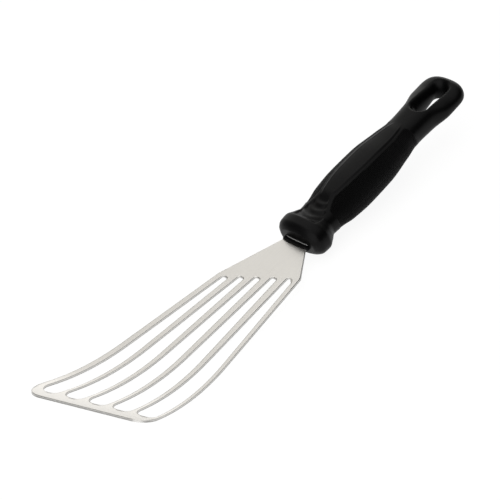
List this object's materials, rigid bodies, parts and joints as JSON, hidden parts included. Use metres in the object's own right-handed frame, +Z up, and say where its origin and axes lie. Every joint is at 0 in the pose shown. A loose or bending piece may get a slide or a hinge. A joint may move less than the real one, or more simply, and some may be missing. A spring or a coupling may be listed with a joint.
{
  "type": "fish spatula",
  "caption": "Slotted fish spatula: thin bent steel blade with five flared slots, slanted tip and a black moulded handle with a thumb rest and hanging loop.",
  "frame": {"origin": "on the table under the middle of the part's box, in the pose in which the spatula rests", "axes": "+X from the handle towards the blade's tip, +Z up from the table, +Y to the short side of the blade"},
  "size_m": [0.266, 0.0702, 0.0323],
  "materials": {
    "steel": "satin stainless",
    "plastic": "matte, fine grain"
  },
  "bodies": {
    "root": {"blade": "steel", "handle": "plastic"}
  },
  "joints": []
}
